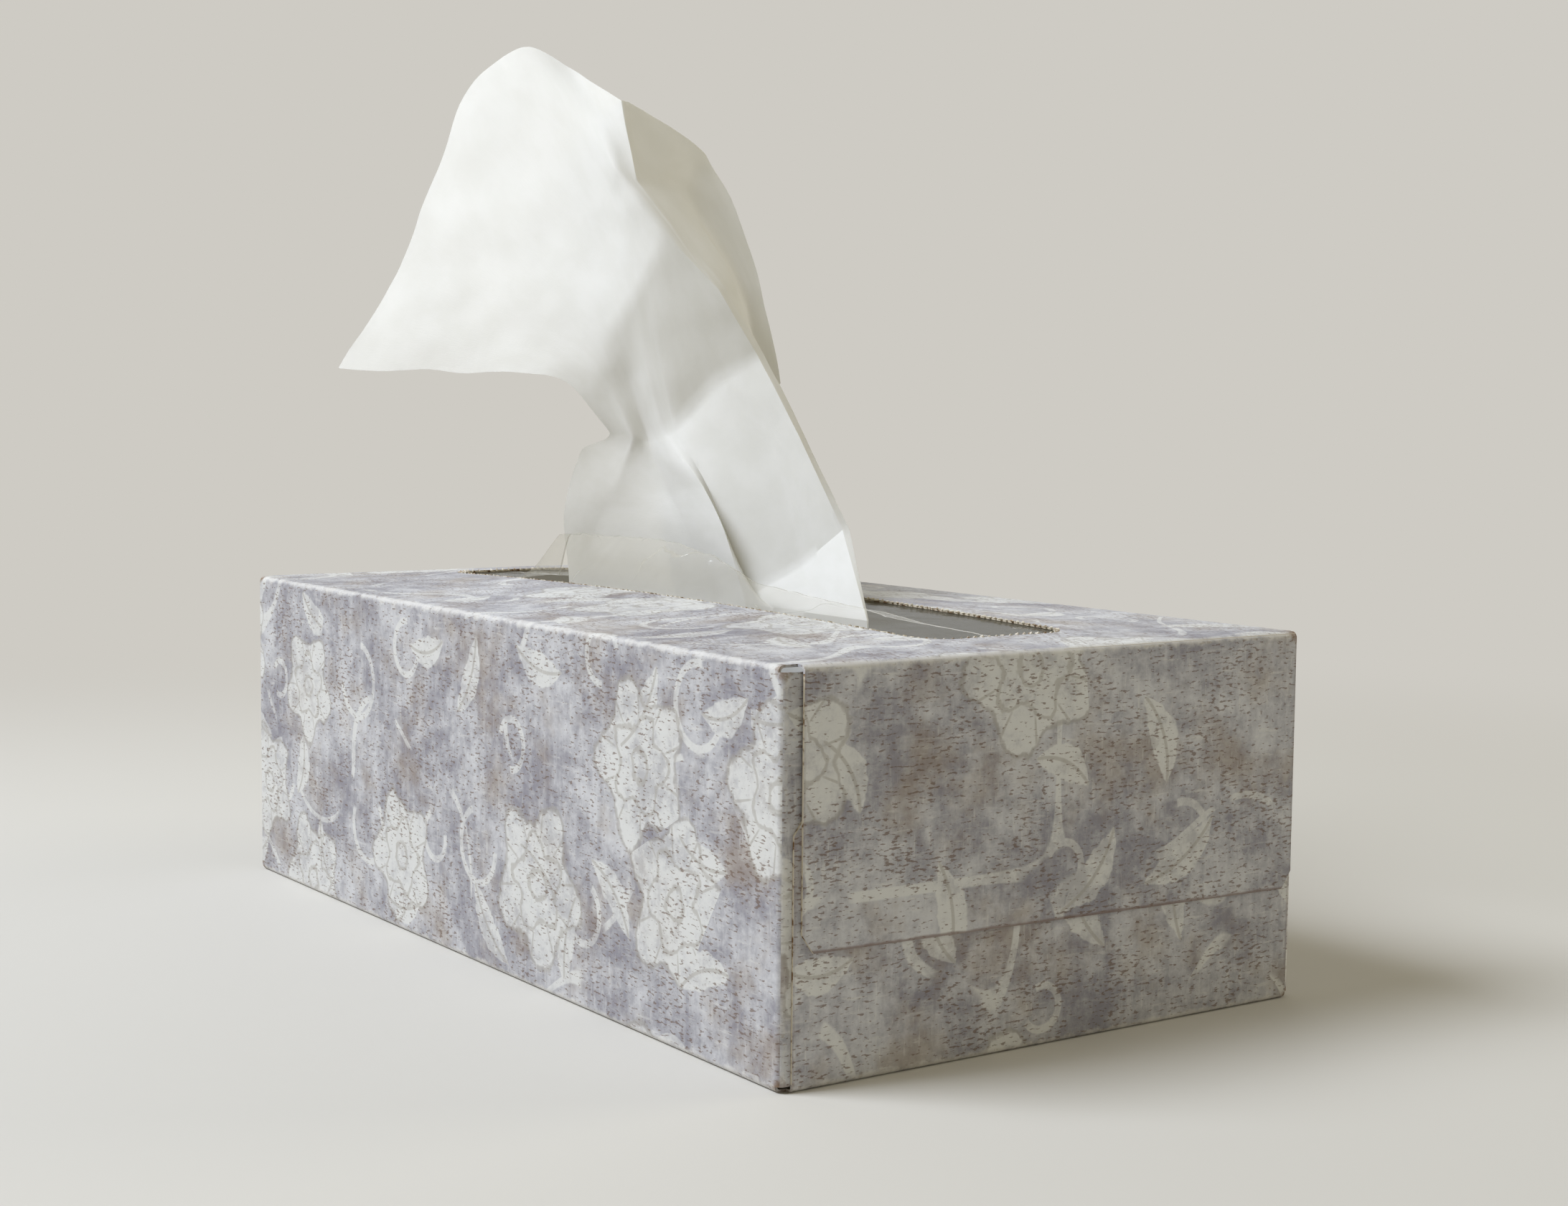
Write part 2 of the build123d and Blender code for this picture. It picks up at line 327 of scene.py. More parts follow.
@dataclass(frozen=True)
class PrintedBoard:
    """Coated board with a mottled wash, pale blossoms and leaves, worn specks and rubbed folds."""

    sizes: CartonSizes
    wash_light: Rgba = tone(203, 203, 205)
    wash_dark: Rgba = tone(136, 134, 143)
    motif: Rgba = tone(216, 216, 213)
    motif_line: Rgba = tone(158, 152, 142)
    scuff: Rgba = tone(214, 213, 209)
    speck: Rgba = tone(108, 84, 66)
    rust: Rgba = tone(146, 128, 106)
    rubbed: Rgba = tone(221, 219, 214)
    # colour of the painted shade line along the flap edges
    edge_shade: Rgba = tone(118, 96, 86)
    inside: Rgba = tone(186, 176, 158)
    raw_edge: Rgba = tone(206, 196, 176)
    core: Rgba = tone(120, 92, 62)
    blossom_cell: float = 47.0
    leaf_cell: float = 29.0
    stem_scale: float = 42.0
    curl_cell: float = 36.0
    petals: float = 5.0
    blossom_least: float = 12.5
    blossom_spread: float = 5.0
    leaf_least: float = 7.0
    leaf_spread: float = 4.0
    leaf_half: float = 3.5
    leaf_bend: float = 2.2
    curl_least: float = 4.0
    curl_spread: float = 4.5
    end_shift: float = 2.4
    flap_shift: float = 0.6
    edge_room: float = 0.4
    fold_room: float = 1.5
    inside_share: float = 0.75
    rust_share: float = 0.5
    line_share: float = 0.5
    scuff_share: float = 0.55
    speck_share: float = 0.7
    edge_shade_share: float = 0.75
    rubbed_share: float = 0.7
    bruise_share: float = 0.85

    def on_flaps(self, ax: Value) -> tuple[Value, Value]:
        """Whether a place lies as far out as the top flap, and as the low flap."""
        end, board = self.sizes.length / 2, self.sizes.board
        return ax > end - board / 2, ax > end - 1.5 * board

    def print_place(self, mat: Shading, place: Feed, facing: Feed) -> tuple[Value, ...]:
        """Finds the place on the flat print: one sheet round the tube, and one for each end flap.

        Args:
            mat: The material.
            place: The place on the carton.
            facing: The surface's direction.

        Returns:
            The place on the flat print, how much a surface is inside, and how much it is a cut edge.
        """
        s = self.sizes
        x, y, z = mat.split(place)
        nx, ny, nz = mat.split(facing)
        ax, ay = abs(x), abs(y)
        anx, any_, anz = (abs(n) for n in (nx, ny, nz))
        end = anx > (any_ | anz)
        level = anz > (any_ | anx)
        rear = y > 0.0
        upper = z > s.height / 2
        side_x, side_y = mat.math("SIGN", x), mat.math("SIGN", y)
        round_rear = 2 * s.height + s.width - z
        tall = mat.between(rear, z, round_rear)
        over = y + (s.height + s.width / 2)
        under = -s.width / 2 - y
        flat_v = mat.between(upper, under, over)
        top_flap, low_flap = self.on_flaps(ax)
        end_u = side_x * (self.end_shift * s.length) + y
        end_v = (top_flap + low_flap) * (self.flap_shift * s.height) + z
        u = mat.between(end, x, end_u)
        v = mat.between(end, mat.between(level, tall, flat_v), end_v)
        out_end = nx * side_x
        out_level = nz * mat.math("SIGN", z - s.height / 2)
        out_side = ny * side_y
        outward = mat.between(end, mat.between(level, out_side, out_level), out_end)
        inside = outward < 0.0
        in_mouth = (ax < s.opening_length / 2 + self.edge_room) * (ay < s.opening_width / 2 + self.edge_room)
        steep = anz < 0.5
        mouth_edge = in_mouth * steep * upper
        on_flap = ax > s.length / 2 - 2 * s.board + 0.02
        between = abs(z - s.height / 2) < s.height / 2 - self.fold_room
        flap_edge = on_flap * between * (anx < 0.5)
        cut = mouth_edge | flap_edge
        return mat.joined(u, v), inside, cut

    def flap_edge_shade(self, mat: Shading, place: Feed) -> Value:
        """Finds the painted shade along the rims of the glued flaps, just inside their cut edges, where a
        shadow line falls.

        Args:
            mat: The material.
            place: The place on the carton.

        Returns:
            How much a place is on such a rim.
        """
        s = self.sizes
        x, y, z = mat.split(place)
        top_flap, low_flap = self.on_flaps(abs(x))
        tip = y * -s.top_flap_slope + s.top_flap_tip
        top_side = (y - s.top_flap_near) & (s.top_flap_far - y)
        low_side = (y - s.low_flap_near) & (s.low_flap_far - y)
        uneven = mat.noise(place, 5.0, 3.0) * 0.8 - 0.4
        side = mat.between(top_flap, low_side, top_side) + uneven
        side = mat.ramp(side, 0.6, 0.2) * low_flap * 0.3
        tip_room = z - tip + uneven
        low = mat.ramp(tip_room, 0.75, 0.25) * top_flap
        return side | low

    def blossoms(self, mat: Shading, flat: Feed) -> tuple[Value, Value]:
        """Round blossoms of five petals, one in most cells.

        Args:
            mat: The material.
            flat: The place on the flat print.

        Returns:
            How much a place is on a blossom, and how much it is on a line between petals.
        """
        local, colour = mat.cells(flat, self.blossom_cell, 0.72)
        pick, turn, size = mat.split(colour)
        x, y, _ = mat.split(local)
        angle = turn * FULL_TURN + mat.math("ARCTAN2", y, x)
        radius = mat.length(local)
        reach = size * self.blossom_spread + self.blossom_least
        wave = mat.math("COSINE", angle * self.petals)
        wobble = mat.noise(flat, 6.0, 3.0, 0.6) * 0.34 - 0.17
        share = radius / reach + wobble
        outline = wave * 0.14 + 0.86
        body = mat.ramp(outline - share, -0.01, 0.05)
        border = mat.ramp(abs(outline - share), 0.05, 0.01)
        inner = mat.math("COSINE", angle * self.petals + HALF_TURN) * 0.09 + 0.5
        ring = mat.ramp(abs(share - inner), 0.045, 0.015)
        heart = mat.ramp(abs(share - 0.17), 0.05, 0.02)
        seam = mat.ramp(abs(wave), 0.16, 0.05) * mat.ramp(share, 0.5, 0.6)
        low_seam = seam * (wave < 0.2)
        there = pick > 0.3
        lines = (ring | heart | low_seam) * body | border
        return body * there, lines * there

    def leaves(self, mat: Shading, flat: Feed) -> tuple[Value, Value]:
        """Pointed leaves that lie every way, with a midrib.

        Args:
            mat: The material.
            flat: The place on the flat print.

        Returns:
            How much a place is on a leaf, and how much it is on a midrib.
        """
        shifted = mat.vector("ADD", flat, (13.0, 7.0, 0.0))
        local, colour = mat.cells(shifted, self.leaf_cell, 0.85)
        pick, turn, size = mat.split(colour)
        spin = {"Vector": local, "Angle": turn * FULL_TURN}
        x, y, _ = mat.split(mat.value("ShaderNodeVectorRotate", spin, rotation_type="Z_AXIS"))
        long = size * self.leaf_spread + self.leaf_least
        along = x / long
        bent = y + along * along * self.leaf_bend
        half = (1.0 - along * along) * self.leaf_half
        ragged = mat.noise(flat, 3.0, 2.0, 0.6) * 2.2 - 1.1
        depth = half - abs(bent) - ragged
        body = mat.ramp(depth, -0.1, 0.4) * (pick > 0.38)
        rib = mat.ramp(abs(bent), 0.5, 0.2) * body
        return body, rib

    def stems(self, mat: Shading, flat: Feed) -> Value:
        """Thin winding stems between the blossoms.

        Args:
            mat: The material.
            flat: The place on the flat print.

        Returns:
            How much a place is on a stem.
        """
        course = mat.noise(mat.vector("ADD", flat, (310.0, 90.0, 0.0)), self.stem_scale, 0.0)
        line = mat.ramp(abs(course - 0.5), 0.014, 0.009)
        parts = mat.ramp(mat.noise(flat, 23.0, 1.0), 0.44, 0.48)
        return line * parts

    def curls(self, mat: Shading, flat: Feed) -> Value:
        """Short curled tendrils, one in most cells.

        Args:
            mat: The material.
            flat: The place on the flat print.

        Returns:
            How much a place is on a tendril.
        """
        local, colour = mat.cells(mat.vector("ADD", flat, (150.0, 61.0, 0.0)), self.curl_cell, 0.8)
        pick, turn, size = mat.split(colour)
        x, y, _ = mat.split(local)
        angle = turn * FULL_TURN + mat.math("ARCTAN2", y, x)
        reach = mat.math("COSINE", angle) * 1.3 + (size * self.curl_spread + self.curl_least)
        ring = mat.ramp(abs(mat.length(local) - reach), 0.95, 0.6)
        arc = mat.ramp(mat.math("SINE", angle + 0.7), -0.55, -0.45)
        return ring * arc * (pick > 0.35)

    def wear(self, mat: Shading, place: Feed) -> tuple[Value, Value]:
        """Rubbed folds and bruised corners.

        Args:
            mat: The material.
            place: The place on the carton.

        Returns:
            How much a place is rubbed pale, and how much it is bruised to the brown board.
        """
        s = self.sizes
        x, y, z = mat.split(place)
        dx = s.length / 2 - abs(x)
        dy = s.width / 2 - abs(y)
        dz = s.height / 2 - abs(z - s.height / 2)
        near = dx & (dy & dz)
        far = dx | (dy | dz)
        total = dx + (dy + dz)
        edge = total - near - far
        uneven = mat.noise(place, 3.2, 4.0, 0.65)
        rub = mat.ramp(uneven * 3.4 + (edge - 1.7), 1.5, 0.3)
        corner = mat.noise(place, 1.5, 3.0, 0.6) * 5.0 + (total - 2.5)
        bruise = mat.ramp(corner, 5.0, 2.6)
        return rub, bruise

    def material(self) -> bpy.types.Material:
        """Builds the board's material: a wash, and coat after coat over it.

        Returns:
            The material.
        """
        mat = Shading("printed board")
        place = mat.place()
        facing = mat.value("ShaderNodeNewGeometry", out="True Normal")
        flat, inside, cut = self.print_place(mat, place, facing)
        cloud = mat.noise(flat, 26.0, 6.0, 0.62)
        fine = mat.noise(flat, 5.5, 6.0, 0.74)
        streak = mat.grain(flat, (0.55, 0.06, 0.0), 3.0, 0.6)
        wash = (streak - 0.5) * 0.22 + ((fine - 0.5) * 0.9 + cloud)
        aged = mat.noise(mat.vector("ADD", flat, (57.0, 23.0, 0.0)), 19.0, 5.0, 0.65)
        blossom, petal_line = self.blossoms(mat, flat)
        leaf, rib = self.leaves(mat, flat)
        stem = self.stems(mat, flat) | self.curls(mat, flat)
        motif = blossom | (leaf | stem * 0.95)
        kept = mat.ramp((fine - 0.5) * 1.3 + cloud, 0.3, 0.62) * 0.4 + 0.5
        brush = mat.ramp(mat.grain(flat, (0.12, 0.9, 0.0), 4.0, 0.65), 0.56, 0.7)
        upright = mat.ramp(mat.grain(flat, (1.1, 0.13, 0.0), 4.0, 0.65), 0.57, 0.71)
        scuffs = (brush | upright) * mat.ramp(cloud, 0.36, 0.58, 0.3, 1.0)
        dash = mat.grain(flat, (0.62, 1.9, 0.0), 2.0, 0.55)
        crowd = motif * -0.012 + (mat.noise(flat, 15.0, 4.0, 0.6) * 0.36 - 0.18)
        specks = mat.ramp(dash + crowd, 0.575, 0.65)
        rub, bruise = self.wear(mat, place)
        plain = mat.layer(mat.noise(place, 0.9, 4.0, 0.7), self.core, self.inside)
        plain = mat.layer(self.inside_share, plain, self.inside)
        torn = mat.layer(mat.ramp(mat.noise(place, 1.6, 3.0), 0.5, 0.66), self.raw_edge, self.core)
        colour = mat.layer(mat.ramp(wash, 0.26, 0.74), self.wash_dark, self.wash_light)
        coats = (
            (mat.ramp(aged, 0.47, 0.7) * self.rust_share, self.rust),
            (motif * kept, self.motif),
            ((petal_line | rib) * self.line_share, self.motif_line),
            (scuffs * self.scuff_share, self.scuff),
            (specks * self.speck_share, self.speck),
            # painted shade: a dark line just inside the flap edges stands in for the shadow under them
            (self.flap_edge_shade(mat, place) * self.edge_shade_share, self.edge_shade),
            (rub * self.rubbed_share, self.rubbed),
            (bruise * self.bruise_share, self.core),
            (inside, plain),
            (cut, torn),
        )
        for share, paint in coats:
            colour = mat.layer(share, colour, paint)
        rough = specks * 0.14 + ((inside | cut) * 0.35 + 0.46)
        normal = mat.bump(specks * -0.5 + fine * 0.5, 0.35, 0.12)
        board = mat.principled(Base_Color=colour, Roughness=rough, Normal=normal, Specular_IOR_Level=0.42)
        return mat.show(board)


@dataclass(frozen=True)
class TornBoard:
    """Raw board where the lid was torn off its perforation."""

    pale: Rgba = tone(226, 219, 203)
    core: Rgba = tone(150, 122, 88)

    def material(self) -> bpy.types.Material:
        """Builds the raw board's material.

        Returns:
            The material.
        """
        mat = Shading("torn board")
        place = mat.place()
        share = mat.ramp(mat.noise(place, 1.3, 3.0, 0.6), 0.46, 0.68)
        colour = mat.layer(share, self.pale, self.core)
        normal = mat.bump(mat.noise(place, 0.3, 3.0, 0.7), 0.6, 0.1)
        return mat.show(mat.principled(Base_Color=colour, Roughness=0.9, Normal=normal))


@dataclass(frozen=True)
class ClearFilm:
    """Thin clear film, hazy and finely crinkled, that shines where it turns away, with painted highlight
    lines on some creases and along its lip.
    """

    tint: Rgba = tone(198, 192, 174)
    haze: float = 0.06
    lean_haze: float = 0.12
    painted_highlight: float = 0.28
    crinkle: float = 19.0

    def material(self) -> bpy.types.Material:
        """Builds the film's material.

        Returns:
            The material.
        """
        mat = Shading("clear film")
        place = mat.place()
        lean = mat.value("ShaderNodeLayerWeight", {"Blend": 0.35}, "Facing")
        creases = mat.noise(place, self.crinkle, 1.5, 0.5)
        few = mat.ramp(mat.noise(mat.vector("ADD", place, (40.0, 9.0, 3.0)), 16.0, 1.0), 0.48, 0.6)
        ridge = mat.ramp(abs(creases - 0.5), 0.008, 0.0) * few
        _, across, _ = mat.split(mat.chart())
        # painted highlight: some crease lines and the lip's edge are drawn as thin, brighter, less clear
        # lines of film
        shine = (ridge * 0.6) | mat.ramp(across, 0.975, 0.99)
        haze = lean * self.lean_haze + self.haze
        seen = mat.math("MULTIPLY_ADD", shine, self.painted_highlight, haze, clamp=True)
        normal = mat.bump(ridge * 0.3 + creases, 0.35, 0.9)
        film = mat.principled(
            Base_Color=self.tint, Roughness=0.1, Alpha=seen, Normal=normal, Specular_IOR_Level=0.9
        )
        return mat.show(film)


@dataclass(frozen=True)
class TissuePaper:
    """Soft two-ply tissue: matt, lightly translucent, with fibres and a fine embossed grain."""

    paper: Rgba = tone(245, 245, 244)
    shade: Rgba = tone(241, 241, 239)
    through: Rgba = tone(240, 238, 228)
    glow: float = 0.36

    def material(self) -> bpy.types.Material:
        """Builds the tissue's material on the sheet's own flat coordinates.

        Returns:
            The material.
        """
        mat = Shading("tissue paper")
        flat = mat.scaled(mat.chart(), 1 / MM)
        colour = mat.layer(mat.ramp(mat.noise(flat, 9.0, 5.0, 0.6), 0.35, 0.65), self.shade, self.paper)
        fibre = mat.grain(flat, (2.4, 0.7, 0.0), 4.0, 0.65)
        crepe = mat.grain(flat, (0.35, 3.0, 0.0), 2.0, 0.5)
        normal = mat.bump(crepe * 0.5 + fibre, 0.3, 0.12)
        paper = mat.principled(Base_Color=colour, Roughness=0.92, Normal=normal, Specular_IOR_Level=0.2)
        through = mat.value("ShaderNodeBsdfTranslucent", {"Color": self.through})
        return mat.show(mat.blended(self.glow, paper, through))


@dataclass(frozen=True)
class StackPaper:
    """The stack's paper: soft layers with faint shade lines between them."""

    paper: Rgba = tone(240, 238, 232)
    shade: Rgba = tone(214, 209, 197)
    layering: Triple = (0.05, 0.05, 1.6)

    def material(self) -> bpy.types.Material:
        """Builds the stack's material.

        Returns:
            The material.
        """
        mat = Shading("stacked tissue")
        place = mat.place()
        share = mat.ramp(mat.grain(place, self.layering, 3.0, 0.6), 0.35, 0.62)
        colour = mat.layer(share, self.shade, self.paper)
        normal = mat.bump(mat.noise(place, 0.8, 4.0, 0.65), 0.3, 0.12)
        return mat.show(mat.principled(Base_Color=colour, Roughness=0.93, Normal=normal))


@dataclass(frozen=True)
class StudioFloor:
    """Plain pale floor that runs into the backdrop."""

    pale: Rgba = tone(206, 203, 196)
    dim: Rgba = tone(196, 193, 186)
    near_reach: float = 180.0
    far_reach: float = 620.0

    def material(self) -> bpy.types.Material:
        """Builds the floor's material.

        Returns:
            The material.
        """
        mat = Shading("studio floor")
        place = mat.place()
        colour = mat.layer(mat.noise(place, 120.0, 2.0) * 0.06, self.pale, self.dim)
        floor = mat.principled(Base_Color=colour, Roughness=0.85)
        path = mat.node("ShaderNodeLightPath").outputs
        seen = mat.math("MAXIMUM", path["Is Camera Ray"], path["Is Glossy Ray"]) | path["Is Transmission Ray"]
        far = mat.ramp(mat.length(place), self.near_reach, self.far_reach)
        glow = mat.value("ShaderNodeEmission", {"Color": self.pale})
        return mat.show(mat.blended(seen * far, floor, glow))


def mesh_piece(name: str, points: np.ndarray, faces: list[tuple[int, ...]]) -> Piece:
    """Makes a mesh object at the origin.

    Args:
        name: The piece's name.
        points: Its points in millimetres.
        faces: Its faces as tuples of point numbers.

    Returns:
        The new object, smooth shaded.
    """
    mesh = bpy.data.meshes.new(name)
    mesh.from_pydata((points * MM).tolist(), [], faces)
    mesh.polygons.foreach_set("use_smooth", [True] * len(mesh.polygons))
    mesh.update()
    piece = bpy.data.objects.new(name, mesh)
    bpy.context.scene.collection.objects.link(piece)
    return piece


def settled(piece: Piece) -> Piece:
    """Turns a piece with modifiers into a plain mesh.

    Args:
        piece: The piece.

    Returns:
        The same piece.
    """
    view = bpy.context.evaluated_depsgraph_get()
    mesh = bpy.data.meshes.new_from_object(piece.evaluated_get(view), depsgraph=view)
    mesh.name = piece.name
    piece.modifiers.clear()
    piece.data = mesh
    return piece


def thickened(piece: Piece, thickness: float, crisp: float) -> Piece:
    """Gives a sheet its thickness, half to each side.

    Args:
        piece: The sheet.
        thickness: Its thickness in millimetres.
        crisp: The angle in degrees from which a fold shows as a crisp edge.

    Returns:
        The same piece.
    """
    wall = piece.modifiers.new("wall", "SOLIDIFY")
    wall.thickness = thickness * MM
    wall.offset = 0.0
    settled(piece)
    piece.data.set_sharp_from_angle(angle=math.radians(crisp))
    return piece


def grid_faces(columns: int, rows: int) -> list[tuple[int, int, int, int]]:
    """Makes the faces of a grid whose points are listed column by column.

    Args:
        columns: How many columns it has.
        rows: How many points each column has.

    Returns:
        The faces as tuples of point numbers.
    """
    return [
        (i * rows + j, i * rows + j + 1, (i + 1) * rows + j + 1, (i + 1) * rows + j)
        for i in range(columns - 1)
        for j in range(rows - 1)
    ]


def charted(piece: Piece, along: np.ndarray, across: np.ndarray) -> None:
    """Gives a sheet made from a grid, or from grids alike, its flat coordinates.

    Args:
        piece: The sheet.
        along: The coordinate of each column.
        across: The coordinate of each row.
    """
    chart = piece.data.uv_layers.new(name="flat")
    for loop in piece.data.loops:
        i, j = divmod(loop.vertex_index % (len(along) * len(across)), len(across))
        chart.data[loop.index].uv = (along[i], across[j])


def eased(points: np.ndarray, sharp: np.ndarray, steps: int) -> np.ndarray:
    """Draws a smooth line through points, with a crease at each that is sharp.

    Args:
        points: Points along the first axis, any number of lines along the others.
        sharp: From 0, smooth, to 1, a crease, for each point of each line.
        steps: How many pieces each span is cut into.

    Returns:
        The points of the finer lines along the first axis.
    """
    spans = np.diff(points, axis=0)
    chords = np.maximum(np.linalg.norm(spans, axis=-1, keepdims=True), 1e-6)
    slopes = spans / chords
    smooth = np.empty_like(points)
    smooth[0], smooth[-1] = slopes[0], slopes[-1]
    weight = chords[:-1] + chords[1:]
    smooth[1:-1] = (slopes[:-1] * chords[1:] + slopes[1:] * chords[:-1]) / weight
    keen = sharp[..., None]
    leave = (1 - keen[:-1]) * smooth[:-1] + keen[:-1] * slopes
    arrive = (1 - keen[1:]) * smooth[1:] + keen[1:] * slopes
    finer = [points[:1]]
    for i in range(len(spans)):
        for t in np.linspace(0, 1, steps + 1)[1:]:
            a, b = points[i], points[i + 1]
            tangents = (t**3 - 2 * t**2 + t) * leave[i] + (t**3 - t**2) * arrive[i]
            between = (2 * t**3 - 3 * t**2 + 1) * a + (3 * t**2 - 2 * t**3) * b
            finer.append((between + tangents * chords[i])[None])
    return np.concatenate(finer)


@dataclass
class Carton:
    """The folded carton, which stays as it was built and gets its print."""

    sizes: CartonSizes

    def dress(self) -> Piece:
        """Puts the printed board on the carton.

        Returns:
            The carton.
        """
        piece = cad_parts["carton"]
        piece.data.materials.clear()
        piece.data.materials.append(PrintedBoard(self.sizes).material())
        return piece


@dataclass
class PerforatedRim:
    """Small torn nibs along the opening, left by the perforation of the lid."""

    sizes: CartonSizes
    pitch: float = 1.7
    reach: float = 0.8
    girth: float = 0.5
    sink: float = 0.05
    taper: float = 0.45
    least: Triple = (0.45, 0.3, 0.3)
    most: Triple = (1.1, 0.75, 1.4)
    corner_points: int = 8
    nib_sides: int = 6
    seed: int = 7

    def lengths(self) -> dict[str, float]:
        """Lists the lengths that the node tree is given.

        Returns:
            The lengths in millimetres, by input name.
        """
        s = self.sizes
        return {
            "Length": s.opening_length,
            "Width": s.opening_width,
            "Corner": s.opening_corner,
            "Pitch": self.pitch,
            "Reach": self.reach,
            "Girth": self.girth,
            "Crown": s.crown,
            "Panel End": s.panel_end,
            "Panel Half": s.panel_half,
            "Level": s.height - self.sink,
        }

    def nodes(self) -> tuple[bpy.types.GeometryNodeTree, dict[str, str]]:
        """Builds the node tree that sets a nib at each tooth of the perforation.

        Returns:
            The tree, and the identifiers of its named inputs.
        """
        made = Nodes(bpy.data.node_groups.new("perforation nibs", "GeometryNodeTree"))
        ports = made.tree.interface
        kinds = dict.fromkeys(self.lengths(), "NodeSocketFloat")
        kinds |= {"Seed": "NodeSocketInt", "Finish": "NodeSocketMaterial"}
        names = {}
        for name, kind in kinds.items():
            names[name] = ports.new_socket(name, in_out="INPUT", socket_type=kind).identifier
        ports.new_socket("Geometry", in_out="OUTPUT", socket_type="NodeSocketGeometry")
        given = made.node("NodeGroupInput").outputs
        sides = {"Width": given["Length"], "Height": given["Width"]}
        outline = made.value("GeometryNodeCurvePrimitiveQuadrilateral", sides, mode="RECTANGLE")
        corners = {"Curve": outline, "Count": self.corner_points, "Radius": given["Corner"]}
        rounded = made.value("GeometryNodeFilletCurve", corners, mode="POLY")
        spacing = {"Curve": rounded, "Length": given["Pitch"]}
        teeth = made.value("GeometryNodeResampleCurve", spacing, mode="LENGTH")
        x, y, _ = made.split(made.value("GeometryNodeInputPosition"))
        along = x / given["Panel End"]
        rise = 1.0 - abs(y) / given["Panel Half"]
        bow = rise * rise * (3.0 - rise * 2.0) * (1.0 - along * along) * given["Crown"]
        lift = made.joined(0.0, 0.0, bow + given["Level"])
        bowed = made.value("GeometryNodeSetPosition", {"Geometry": teeth, "Offset": lift})
        cone = {
            "Vertices": self.nib_sides,
            "Side Segments": 2,
            "Radius Bottom": given["Girth"],
            "Radius Top": made.math("MULTIPLY", given["Girth"], self.taper),
            "Depth": given["Reach"],
        }
        nib = made.value("GeometryNodeMeshCone", cone, "Mesh")
        inward = made.vector("CROSS_PRODUCT", (0.0, 0.0, 1.0), made.value("GeometryNodeInputTangent"))
        lean = made.value("FunctionNodeAlignRotationToVector", {"Vector": inward}, axis="Z")
        spread = {0: self.least, 1: self.most, "Seed": given["Seed"]}
        vary = made.value("FunctionNodeRandomValue", spread, data_type="FLOAT_VECTOR")
        row = {"Points": bowed, "Instance": nib, "Rotation": lean, "Scale": vary}
        set_out = made.value("GeometryNodeInstanceOnPoints", row)
        real = made.value("GeometryNodeRealizeInstances", {0: set_out})
        dressed = made.value("GeometryNodeSetMaterial", {"Geometry": real, "Material": given["Finish"]})
        made.node("NodeGroupOutput", {0: dressed})
        return made.tree, names

    def build(self) -> Piece:
        """Builds the nibs round the opening.

        Returns:
            The nibs as one piece.
        """
        tree, names = self.nodes()
        mesh = bpy.data.meshes.new("rim_nibs")
        piece = bpy.data.objects.new("rim_nibs", mesh)
        bpy.context.scene.collection.objects.link(piece)
        maker = piece.modifiers.new("nibs", "NODES")
        maker.node_group = tree
        for name, value in self.lengths().items():
            maker[names[name]] = value * MM
        maker[names["Seed"]] = self.seed
        maker[names["Finish"]] = TornBoard().material()
        settled(piece)
        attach(piece, "root")
        return piece


